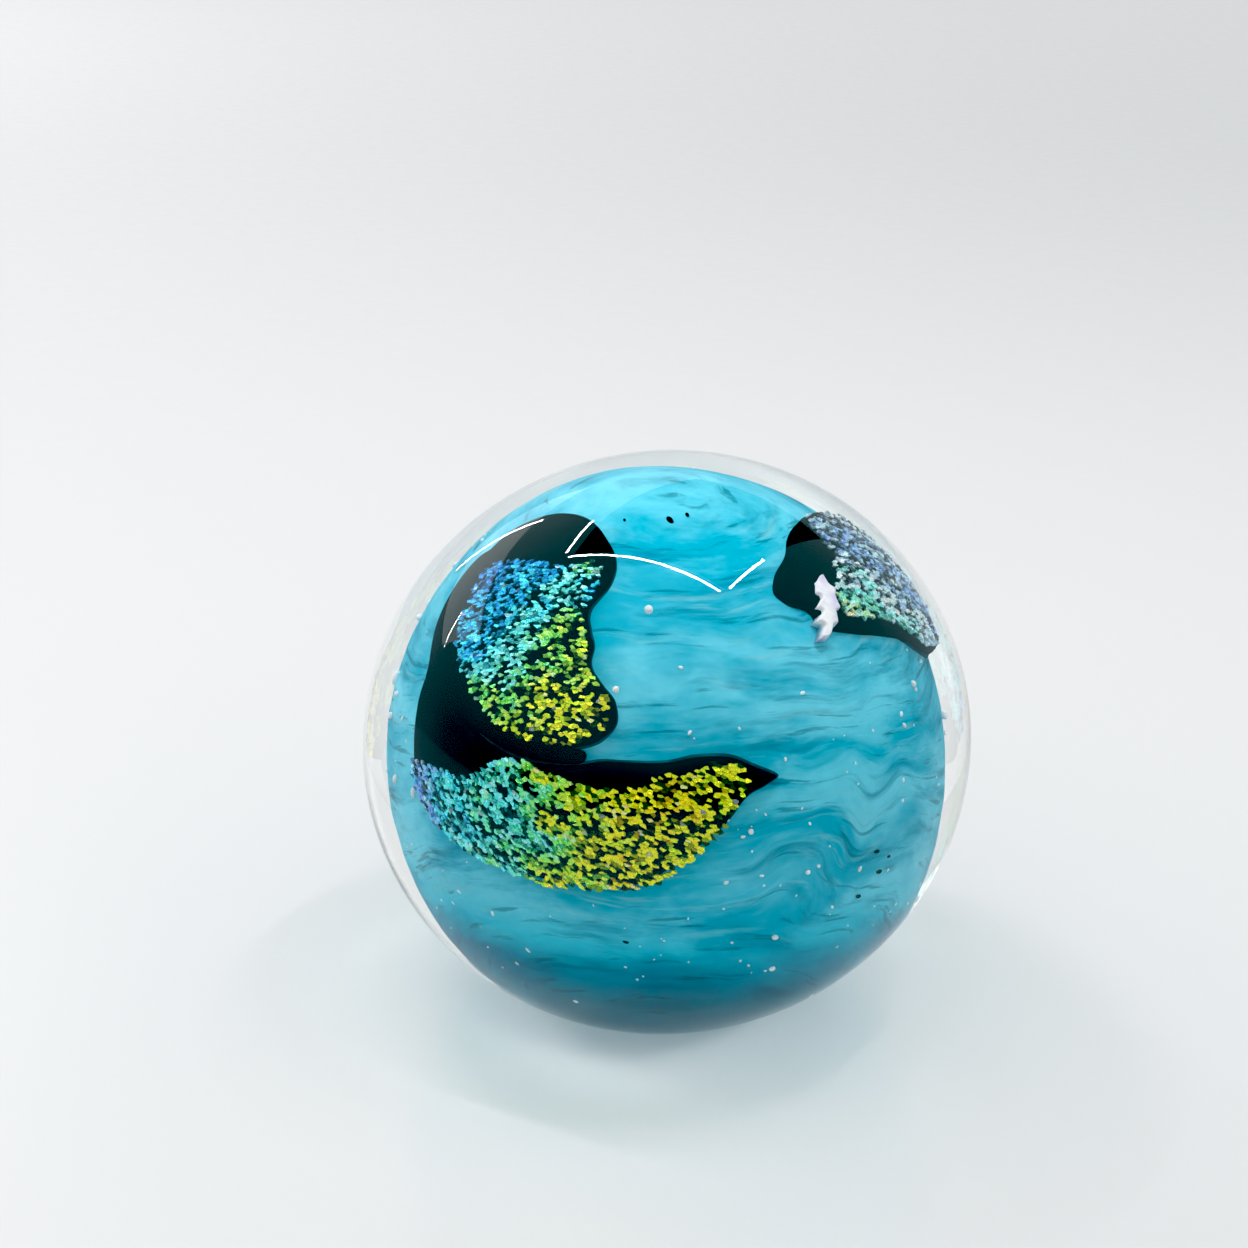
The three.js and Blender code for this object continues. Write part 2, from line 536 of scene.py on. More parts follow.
def wisps_group() -> bpy.types.ShaderNodeTree:
    """Long wavy wisps, drawn out level round the z axis, as a mask.

    Returns:
        The group.
    """
    tree = bpy.data.node_groups.new(Group.WISPS.value, "ShaderNodeTree")
    face = tree.interface
    face.new_socket("Place", in_out="INPUT", socket_type="NodeSocketVector")
    inputs = (("Scale", 60.0), ("Stretch", 5.0), ("Warp", 0.3), ("From", 0.5), ("To", 0.7), ("Tilt", 0.0))
    for name, value in inputs:
        face.new_socket(name, in_out="INPUT", socket_type="NodeSocketFloat").default_value = value
    face.new_socket("Mask", in_out="OUTPUT", socket_type="NodeSocketFloat")
    w = Wiring(tree)
    given = tree.nodes.new("NodeGroupInput").outputs
    bend = w.add("TexNoise", Vector=given["Place"], Scale=90.0, Detail=2.0)
    centred = w.add("VectorMath", {"operation": "SUBTRACT"}, _0=bend.outputs["Color"], _1=(0.5, 0.5, 0.5))
    pushed = w.add("VectorMath", {"operation": "SCALE"}, _0=centred.outputs[0], Scale=given["Warp"])
    turned = w.add("VectorRotate", {"rotation_type": "X_AXIS"}, Vector=given["Place"], Angle=given["Tilt"])
    shifted = w.add("VectorMath", _0=turned.outputs[0], _1=(0.37, 0.11, 0.53))
    scaled = w.add("VectorMath", {"operation": "SCALE"}, _0=shifted.outputs[0], Scale=given["Scale"])
    moved = w.add("VectorMath", _0=scaled.outputs[0], _1=pushed.outputs[0])
    drawn = w.add("CombineXYZ", X=1.0, Y=1.0, Z=given["Stretch"])
    flat = w.add("VectorMath", {"operation": "MULTIPLY"}, _0=moved.outputs[0], _1=drawn.outputs[0])
    wisp = w.add("TexNoise", Vector=flat.outputs[0], Scale=1.0, Detail=5.0, Roughness=0.6)
    span = w.add(
        "MapRange",
        {"interpolation_type": "SMOOTHSTEP"},
        Value=wisp.outputs[0],
        From_Min=given["From"],
        From_Max=given["To"],
    )
    out = tree.nodes.new("NodeGroupOutput")
    tree.links.new(span.outputs[0], out.inputs["Mask"])
    return tree


def mottle_group() -> bpy.types.ShaderNodeTree:
    """Fine unevenness of worked glass: a value round 0.5 and a bumped normal.

    Returns:
        The group.
    """
    tree = bpy.data.node_groups.new(Group.MOTTLE.value, "ShaderNodeTree")
    face = tree.interface
    face.new_socket("Place", in_out="INPUT", socket_type="NodeSocketVector")
    for name, value in (("Scale", 900.0), ("Depth", 0.1)):
        face.new_socket(name, in_out="INPUT", socket_type="NodeSocketFloat").default_value = value
    face.new_socket("Value", in_out="OUTPUT", socket_type="NodeSocketFloat")
    face.new_socket("Normal", in_out="OUTPUT", socket_type="NodeSocketVector")
    w = Wiring(tree)
    given = tree.nodes.new("NodeGroupInput").outputs
    grain = w.add("TexNoise", Vector=given["Place"], Scale=given["Scale"], Detail=4.0)
    bump = w.add("Bump", Strength=given["Depth"], Height=grain.outputs[0], Distance=0.0002)
    out = tree.nodes.new("NodeGroupOutput")
    tree.links.new(grain.outputs[0], out.inputs["Value"])
    tree.links.new(bump.outputs[0], out.inputs["Normal"])
    return tree


def use_group(w: Wiring, group: Group, **values: object) -> bpy.types.Node:
    """Places a shared group in a material with its own values."""
    return w.add("Group", {"node_tree": bpy.data.node_groups[group.value]}, **values)


def pass_lamps(w: Wiring, glass: bpy.types.Node, clear: bpy.types.Node) -> bpy.types.Node:
    """Lets lamp light through as a clear sheet would, where every other ray meets the glass."""
    lamp_ray = w.add("LightPath").outputs["Is Shadow Ray"]
    return w.add("MixShader", _0=lamp_ray, _1=glass.outputs[0], _2=clear.outputs[0])


@dataclass(frozen=True)
class Finish:
    """A finish. Each kind lays its own shader nodes."""

    name: str

    def nodes(self, w: Wiring, place: bpy.types.NodeSocket) -> bpy.types.Node:
        """Lays the nodes of the finish.

        Args:
            w: the wiring of the material.
            place: the object coordinates.

        Returns:
            The node whose first output is the shader.
        """
        raise NotImplementedError

    def make(self) -> bpy.types.Material:
        """Makes the material.

        Returns:
            The material.
        """
        material = bpy.data.materials.new(self.name)
        material.use_nodes = True
        material.node_tree.nodes.clear()
        w = Wiring(material.node_tree)
        shader = self.nodes(w, w.add("TexCoord").outputs["Object"])
        w.add("OutputMaterial", Surface=shader.outputs[0])
        return material


@dataclass(frozen=True)
class ClearGlass(Finish):
    """Water-clear glass. Lamps light what lies behind it, and the ground base has fine lapping marks."""

    name: str = "clear_glass"
    index: float = 1.5
    tint: Colour = (0.985, 1.0, 0.998)
    shade: Colour = (0.26, 0.36, 0.33)
    passing: Colour = (0.96, 0.97, 0.97)
    base_haze: float = 0.12
    base_depth: float = 0.05 * MM

    def nodes(self, w: Wiring, place: bpy.types.NodeSocket) -> bpy.types.Node:
        """Lays glass for the eye and a tinted clear sheet for the lamps.

        Args:
            w: the wiring of the material.
            place: the object coordinates.

        Returns:
            The node whose first output is the shader.
        """
        height = w.add("SeparateXYZ", Vector=place).outputs["Z"]
        on_base = w.math("LESS_THAN", height, self.base_depth)
        rings = w.add("TexWave", {"wave_type": "RINGS", "rings_direction": "Z"}, Vector=place, Scale=900.0,
                      Distortion=6.0, Detail=3.0).outputs["Fac"]
        lapped = w.math("MULTIPLY", w.math("MULTIPLY", rings, on_base), self.base_haze)
        glass = w.add("BsdfPrincipled", IOR=self.index, Transmission_Weight=1.0,
                      Base_Color=(*self.tint, 1), Roughness=lapped)
        leaving = w.add("NewGeometry").outputs["Backfacing"]
        colour = w.blend(leaving, (*self.shade, 1), (*self.passing, 1))
        return pass_lamps(w, glass, w.add("BsdfTransparent", Color=colour))


@dataclass(frozen=True)
class Streak:
    """One kind of streak in the opal. Start and full are where its noise begins and is complete."""

    colour: Colour
    cover: float
    scale: float
    stretch: float
    start: float
    full: float
    lean: float = 1.0


@dataclass(frozen=True)
class OpalGlass(Finish):
    """Streaked turquoise opal: pale clouds, light wisps, broad deep bands and thin dark threads."""

    name: str = "turquoise_opal"
    middle: Colour = (0.026, 0.45, 0.64)
    streaks: tuple[Streak, ...] = (
        Streak((0.18, 0.72, 0.90), 1.0, 90.0, 3.4, 0.36, 0.66),
        Streak((0.26, 0.66, 0.74), 0.50, 130.0, 12.0, 0.56, 0.70, 0.6),
        Streak((0.003, 0.21, 0.35), 0.64, 95.0, 8.0, 0.50, 0.70),
        Streak((0.001, 0.07, 0.13), 0.50, 150.0, 15.0, 0.585, 0.665),
    )
    tilt: float = math.radians(17)
    folds: Point = (48, -8)
    fold_reach: Point = (9 * MM, 2 * MM)
    fold_warp: Point = (0.36, 1.35)
    # painted shade: from these heights down to the base the colour is multiplied darker, standing in for the
    # shadow under the ball
    underside_shade_heights: Point = (5 * MM, 23 * MM)
    underside_shade: tuple[Stop, ...] = (
        (0.0, (0.0, 0.10, 0.15)),
        (0.24, (0.0, 0.42, 0.52)),
        (0.36, (0.3, 0.88, 0.92)),
        (0.50, (1, 1, 1)),
    )

    def nodes(self, w: Wiring, place: bpy.types.NodeSocket) -> bpy.types.Node:
        """Lays streak over streak, then painted shade that darkens the colour towards the base.

        Args:
            w: the wiring of the material.
            place: the object coordinates.

        Returns:
            The node whose first output is the shader.
        """
        core = Core(Ball())
        folds = core.middle + Vector(direction(*self.folds)) * core.radius
        far = w.add("VectorMath", {"operation": "DISTANCE"}, _0=place, _1=folds).outputs["Value"]
        bend = w.add("MapRange", Value=far, From_Min=self.fold_reach[0], From_Max=self.fold_reach[1],
                     To_Min=self.fold_warp[0], To_Max=self.fold_warp[1]).outputs[0]
        colour = (*self.middle, 1)
        for streak in self.streaks:
            form = use_group(w, Group.WISPS, Place=place, Scale=streak.scale, Stretch=streak.stretch,
                             Warp=bend, From=streak.start, To=streak.full, Tilt=self.tilt * streak.lean)
            cover = w.math("MULTIPLY", form.outputs["Mask"], streak.cover)
            colour = w.blend(cover, colour, (*streak.colour, 1))
        # painted shade: the colour gets darker the nearer it lies to the base
        height = w.add("SeparateXYZ", Vector=place).outputs["Z"]
        low, high = self.underside_shade_heights
        rise = w.add("MapRange", Value=height, From_Min=low, From_Max=high).outputs[0]
        shaded_colour = w.blend(1.0, colour, w.ramp(rise, self.underside_shade), "MULTIPLY")
        grain = use_group(w, Group.MOTTLE, Place=place, Scale=1400.0, Depth=0.05)
        lightness = w.spread(grain.outputs["Value"], 0.16, 0.92)
        uneven = w.add("HueSaturation", Value=lightness, Color=shaded_colour).outputs[0]
        return w.add("BsdfPrincipled", Base_Color=uneven, Roughness=0.45, Specular_IOR_Level=0.0,
                     Normal=grain.outputs["Normal"])


@dataclass(frozen=True)
class BlackGlass(Finish):
    """Black glass fused under the casing, with a breath of grey-green where it thins out."""

    name: str = "black_glass"
    body: Colour = (0.0015, 0.0018, 0.002)
    cloud: Colour = (0.006, 0.009, 0.010)
    cloud_scale: float = 200.0
    cloud_span: Point = (0.45, 0.75)
    roughness: float = 0.35

    def nodes(self, w: Wiring, place: bpy.types.NodeSocket) -> bpy.types.Node:
        """Lays faint clouds in the black.

        Args:
            w: the wiring of the material.
            place: the object coordinates.

        Returns:
            The node whose first output is the shader.
        """
        clouds = use_group(w, Group.WISPS, Place=place, Scale=self.cloud_scale, Stretch=1.0, Warp=1.0,
                           From=self.cloud_span[0], To=self.cloud_span[1])
        colour = w.blend(clouds.outputs["Mask"], (*self.body, 1), (*self.cloud, 1))
        return w.add("BsdfPrincipled", Base_Color=colour, Roughness=self.roughness, Specular_IOR_Level=0.0)


# Black glass so thin at a chip's edge that it shows as dark teal.
THIN_BLACK = BlackGlass(
    name="thin_black",
    body=(0.004, 0.045, 0.062),
    cloud=(0.006, 0.12, 0.16),
    cloud_scale=420.0,
    cloud_span=(0.40, 0.65),
    roughness=0.4,
)


@dataclass(frozen=True)
class MirrorFilm(Finish):
    """Crackled interference film: each flake holds its own colour times a random painted brightness, from
    painted shade to painted glints, laid over metal.
    """

    name: str = "mirror_film"
    layer: str = "flake_colour_and_painted_light"

    def nodes(self, w: Wiring, place: bpy.types.NodeSocket) -> bpy.types.Node:
        """Lays the flakes' own colours, with their painted light, over rough metal.

        Args:
            w: the wiring of the material.
            place: the object coordinates.

        Returns:
            The node whose first output is the shader.
        """
        own = w.add("Attribute", {"attribute_name": self.layer}).outputs["Color"]
        grain = use_group(w, Group.MOTTLE, Place=place, Scale=5200.0, Depth=0.6)
        rough = w.spread(grain.outputs["Value"], 0.25, 0.16)
        return w.add("BsdfPrincipled", Base_Color=own, Roughness=rough, Metallic=0.75,
                     Specular_IOR_Level=0.0, Normal=grain.outputs["Normal"])


@dataclass(frozen=True)
class MilkyGlass(Finish):
    """White opal with a coloured cast, for the fleck and the seeds."""

    name: str = "milky_glass"
    white: Colour = (0.95, 0.97, 1.0)
    cast: Colour = (0.60, 0.56, 0.82)

    def nodes(self, w: Wiring, place: bpy.types.NodeSocket) -> bpy.types.Node:
        """Lays drifts of the cast in the white.

        Args:
            w: the wiring of the material.
            place: the object coordinates.

        Returns:
            The node whose first output is the shader.
        """
        drift = use_group(w, Group.WISPS, Place=place, Scale=420.0, Stretch=1.0, Warp=1.0,
                          From=0.40, To=0.68)
        grain = use_group(w, Group.MOTTLE, Place=place, Scale=2500.0, Depth=0.2)
        colour = w.blend(drift.outputs["Mask"], (*self.white, 1), (*self.cast, 1))
        return w.add("BsdfPrincipled", Base_Color=colour, Roughness=0.35, Specular_IOR_Level=0.1,
                     Normal=grain.outputs["Normal"])


@dataclass(frozen=True)
class TrappedAir(Finish):
    """The wall between glass and a bubble of air, seen from the glass."""

    name: str = "trapped_air"
    index: float = 1 / 1.5

    def nodes(self, w: Wiring, place: bpy.types.NodeSocket) -> bpy.types.Node:
        """Lays the bubble's wall.

        Args:
            w: the wiring of the material.
            place: the object coordinates.

        Returns:
            The node whose first output is the shader.
        """
        grain = use_group(w, Group.MOTTLE, Place=place, Scale=3000.0, Depth=0.02)
        wall = w.add("BsdfPrincipled", IOR=self.index, Transmission_Weight=1.0, Roughness=0.0,
                     Base_Color=(1, 1, 1, 1), Normal=grain.outputs["Normal"])
        return pass_lamps(w, wall, w.add("BsdfTransparent"))


@dataclass(frozen=True)
class WhiteTable(Finish):
    """Smooth white board."""

    name: str = "white_table"

    def nodes(self, w: Wiring, place: bpy.types.NodeSocket) -> bpy.types.Node:
        """Lays a faintly uneven sheen.

        Args:
            w: the wiring of the material.
            place: the object coordinates.

        Returns:
            The node whose first output is the shader.
        """
        grain = use_group(w, Group.MOTTLE, Place=place, Scale=300.0, Depth=0.02)
        rough = w.spread(grain.outputs["Value"], 0.06, 0.22)
        return w.add("BsdfPrincipled", Base_Color=(0.80, 0.81, 0.82, 1), Roughness=rough,
                     Normal=grain.outputs["Normal"])


@dataclass(frozen=True)
class DarkCloth(Finish):
    """Matt black cloth."""

    name: str = "dark_cloth"

    def nodes(self, w: Wiring, place: bpy.types.NodeSocket) -> bpy.types.Node:
        """Lays the weave.

        Args:
            w: the wiring of the material.
            place: the object coordinates.

        Returns:
            The node whose first output is the shader.
        """
        weave = w.add("TexNoise", Vector=place, Scale=400.0).outputs["Fac"]
        colour = w.ramp(weave, ((0.3, (0.02, 0.02, 0.02)), (0.7, (0.035, 0.035, 0.035))))
        return w.add("BsdfPrincipled", Base_Color=colour, Roughness=0.9)


class Finishes:
    """Builds the shared groups once, and each material when it is first asked for."""

    def __init__(self) -> None:
        """Builds the groups."""
        wisps_group()
        mottle_group()
        self.made: dict[str, bpy.types.Material] = {}

    def get(self, finish: Finish) -> bpy.types.Material:
        """The material of a finish.

        Args:
            finish: the finish.

        Returns:
            Its material, made at the first call.
        """
        if finish.name not in self.made:
            self.made[finish.name] = finish.make()
        return self.made[finish.name]


# ---------------------------------------------------------------- chips and films


@dataclass(frozen=True)
class Film:
    """How one mirror film looks.

    Colours run along a line across the film, from its first stop to its last.
    """

    outline: list[Point]
    heading: float
    stops: list[Stop]
    flow: float = 0.0
    grain: float = 0.25 * MM
    stretch: float = 1.6
    plate: float = 1.25 * MM
    torn: float = 1.0
    seed: int = 1


@dataclass(frozen=True)
class Chip:
    """A black chip with its film."""

    name: str
    outline: list[Point]
    film: Film


BLUE: Colour = (0.04, 0.26, 0.72)
AZURE: Colour = (0.04, 0.40, 0.84)
SKY: Colour = (0.07, 0.54, 0.80)
AQUA: Colour = (0.20, 0.95, 0.78)
GREEN: Colour = (0.24, 0.95, 0.16)
LIME: Colour = (0.60, 0.88, 0.02)
GOLD: Colour = (0.56, 0.56, 0.02)
AMBER: Colour = (0.70, 0.34, 0.03)
HONEY: Colour = (0.90, 0.62, 0.015)
DUSK: Colour = (0.20, 0.38, 0.76)
MIST: Colour = (0.50, 0.66, 0.74)
LEAF: Colour = (0.46, 0.72, 0.30)

CHIPS = [
    Chip(
        "left",
        [
            (-107, 72), (-60, 75), (-36, 70), (-31, 63), (-34, 55), (-30, 50), (-26, 46), (-25, 41),
            (-20, 37), (-15, 33), (-14, 27), (-18, 22.5), (-24, 19.8), (-31, 18.4), (-40, 17.6),
            (-50, 18.4), (-60, 20.6), (-72, 23.4), (-82, 24.5), (-94, 28.5), (-103, 35), (-109, 43),
            (-117, 50), (-120, 61),
        ],
        Film(
            [
                (-94, 47), (-74, 58), (-60, 61), (-46, 66), (-38, 62), (-37, 54), (-33, 49),
                (-29, 45), (-28, 41), (-23, 37), (-18, 33), (-17, 28), (-21, 24), (-28, 21.4),
                (-38, 20.2), (-47, 21.2), (-56, 23.6), (-66, 27), (-78, 32), (-86, 39),
            ],
            heading=-24,
            stops=[(0.0, BLUE), (0.24, AZURE), (0.36, SKY), (0.47, AQUA), (0.58, GREEN), (0.78, LIME),
                   (1.0, GOLD)],
            flow=18,
            seed=11,
        ),
    ),
    Chip(
        "lower",
        [
            (-84, 20), (-72, 20.8), (-60, 18.3), (-50, 16.1), (-40, 15.3), (-31, 16.1), (-24, 17.4),
            (-18, 19), (-12, 19.4), (-1, 19.8), (7, 21), (16, 20.4), (22, 17.6), (29, 13.4), (25, 11),
            (20, 9), (14, 2.5), (6, -4), (-2, -10.4), (-7, -13), (-14, -13.8), (-28, -15),
            (-39, -14.4), (-51, -13), (-61, -11), (-70, -8), (-77, -3), (-80, 3), (-83, 10), (-85, 16),
        ],
        Film(
            [
                (-76, 2), (-63, 4), (-52, 6.5), (-46, 12), (-40, 14), (-32, 13), (-24, 12), (-15, 11.6),
                (-7, 12.4), (-2, 15.4), (5, 16.4), (12, 18), (18, 16.4), (18, 12), (13, 4), (7, -2),
                (-1, -8.6), (-7, -11.6), (-14, -12.4), (-28, -13.6), (-39, -13), (-51, -11.6),
                (-61, -9.4), (-69, -6.6), (-75, -2),
            ],
            heading=0,
            stops=[(0.0, DUSK), (0.16, SKY), (0.32, AQUA), (0.46, GREEN), (0.62, LIME), (0.80, HONEY),
                   (1.0, LIME)],
            flow=-20,
            plate=1.5 * MM,
            torn=0.8,
            seed=23,
        ),
    ),
    Chip(
        "right",
        [
            (115, 56), (97, 61), (79, 61), (61, 60), (51, 56), (53, 51), (59, 47), (60, 42), (73, 35),
            (91, 25), (106, 13), (118, 8), (130, 14), (137, 28), (131, 44),
        ],
        Film(
            [
                (115, 53), (104, 51), (90, 48), (78, 46), (72, 42), (78, 38), (90, 31), (103, 18),
                (116, 12), (127, 17), (132, 30), (126, 44),
            ],
            heading=20,
            stops=[(0.0, LEAF), (0.16, AQUA), (0.32, MIST), (0.6, DUSK), (1.0, MIST)],
            flow=-50,
            torn=0.8,
            seed=37,
        ),
    ),
    Chip(
        "back",
        [
            (168, 14), (184, 21), (202, 17), (212, 6), (207, -4), (193, -9), (182, -4),
            (170, -4), (161, 5),
        ],
        Film(
            [
                (171, 11), (184, 17.5), (199, 14), (207, 5), (202, -1), (193, -5.5),
                (183, -0.5), (172, -0.5), (165, 5),
            ],
            heading=-30,
            stops=[(0.0, SKY), (0.4, AQUA), (0.7, GREEN), (1.0, LIME)],
            flow=30,
            seed=41,
        ),
    ),
    Chip(
        "low_back",
        [
            (142, -10), (160, -17), (182, -19), (200, -16), (211, -9), (221, -10),
            (218, -21), (206, -31), (188, -37), (162, -33), (145, -23),
        ],
        Film(
            [
                (146, -14), (162, -20.5), (182, -22.5), (201, -19.5), (211, -13.5),
                (215, -19), (204, -28), (188, -33.5), (164, -29.5), (149, -21.5),
            ],
            heading=180,
            stops=[(0.0, BLUE), (0.3, AQUA), (0.6, GREEN), (0.85, LIME), (1.0, AMBER)],
            flow=10,
            seed=53,
        ),
    ),
]

BRIDGE_OUTLINE: list[Point] = [
    (-108, 46), (-97, 44), (-84, 34), (-72, 28), (-60, 24), (-48, 21), (-36, 20), (-27, 20.4),
    (-23, 20), (-22, 18.4), (-24, 16.4), (-32, 15.4), (-44, 15), (-58, 16.6), (-72, 18), (-83, 17),
    (-87, 21), (-96, 27), (-104, 34), (-110, 41),
]

FLECK_OUTLINE: list[Point] = [
    (79, 51.5), (71, 51.4), (66, 49.6), (67, 48.2), (61, 47.2), (62.5, 45.6), (57, 44.6),
    (59, 43), (53.5, 40.6), (58, 39.6), (63, 41.6), (64.5, 40.8), (68, 43.4), (70.5, 42.8),
    (73, 45.6), (77, 46.6), (76, 48.6),
]


RIM_SHARES = (0.06, 0.2, 0.42, 0.7, 1.0)
GRID_SHARE = 0.6
RIM_CLEARANCE = 0.93
CURVE_STEPS = 8


def pad(core: Core, name: str, outline: list[Point], low: float, high: float,
        spread: float, round_edge: float, curved: bool) -> bpy.types.Object:
    """A closed pad lying on the core, with a rounded rim.

    Args:
        core: the core.
        name: the piece's name.
        outline: its outline on the core, in degrees.
        low: radius of its underside from the core's middle.
        high: radius of its top.
        spread: how far its edge lies outside the outline.
        round_edge: width of the rounded rim.
        curved: whether the outline is a smooth curve rather than straight from point to point.

    Returns:
        The piece.
    """
    chart = CoreMap(core, outline)
    ring = smooth_ring(chart.points, CURVE_STEPS) if curved else chart.points
    ring = widened(ring, spread)
    step = round_edge * GRID_SHARE
    low_corner, high_corner = ring.min(0), ring.max(0)
    across = np.arange(low_corner[0], high_corner[0], step)
    along = np.arange(low_corner[1], high_corner[1], step)
    grid = np.stack(np.meshgrid(across, along), -1)
    grid[1::2, :, 0] += step / 2
    grid = grid.reshape(-1, 2)
    grid = grid[inside(grid, ring)]
    grid = grid[edge_distance(grid, ring) > round_edge]
    rims = []
    for share in RIM_SHARES:
        rim = widened(ring, -share * round_edge)
        near = edge_distance(rim, ring) > share * round_edge * RIM_CLEARANCE
        rims.append(rim[near & inside(rim, ring)])
    loose = np.concatenate([*rims, grid])
    count = len(ring)
    wanted = [Vector(p) / MM for p in np.concatenate([ring, loose])]
    border = [(i, (i + 1) % count) for i in range(count)]
    flat, _, faces, *_ = geometry.delaunay_2d_cdt(wanted, border, [], 1, 1e-5)
    spots = np.array([tuple(p) for p in flat]) * MM
    depth = np.minimum(edge_distance(spots, ring) / round_edge, 1)
    lift = np.sqrt(np.maximum(1 - (1 - depth) ** 2, 0))
    on_edge = depth < 1e-4
    top = chart.raise_up(spots, low + (high - low) * lift)
    bottom = chart.raise_up(spots, np.full(len(spots), low))
    below = {int(i): k + len(spots) for k, i in enumerate(np.flatnonzero(~on_edge))}
    points = np.concatenate([top, bottom[~on_edge]])
    skin = [tuple(face) for face in faces]
    skin += [tuple(below.get(i, i) for i in reversed(face)) for face in faces]
    return new_piece(name, points, skin)


@dataclass(frozen=True)
class Crackle:
    """How every film is broken up, and the painted light in its flakes' colours. Spans are lowest and
    highest, or start and rise.
    """

    beyond: float = 0.22 * MM
    curve_steps: int = 6
    seed_shake: float = 0.36
    plate_shake: float = 0.40
    plate_tilt: float = 0.10
    plate_shift: float = 0.05
    ridge_size: float = 0.75 * MM
    ridge_bend: float = 1.7
    ridge_gap: float = 0.085
    crack_gap: float = 0.05
    lost: float = 0.07
    torn: Point = (0.35, 0.9)
    size: float = 0.97
    size_span: Point = (-0.10, 0.08)
    corner_shake: float = 0.012 * MM
    longest: float = 2.2
    margin: float = 0.05 * MM
    tilt: float = 0.40
    tilt_limit: float = 0.09 * MM
    height: float = 0.13 * MM
    height_span: float = 0.04
    foot_size: float = 1.04
    foot_depth: float = 0.06 * MM
    patch_size: float = 2.6 * MM
    patch_shift: float = 0.16
    colour_shake: float = 0.035
    # painted light: brightnesses multiplied into the flake colours, from near-black painted shade to painted
    # glints, with the odds of each below
    lights: tuple[float, ...] = (0.07, 0.50, 1.4, 3.0)
    painted_dark_odds: Point = (0.09, 0.11)
    painted_half_lit_odds: float = 0.17
    bright: float = 0.34
    painted_light_span: Point = (0.85, 1.2)
    pale_odds: float = 0.03
    paleness: float = 0.30
    ceiling: float = 0.95
    glint_softening: float = 0.6


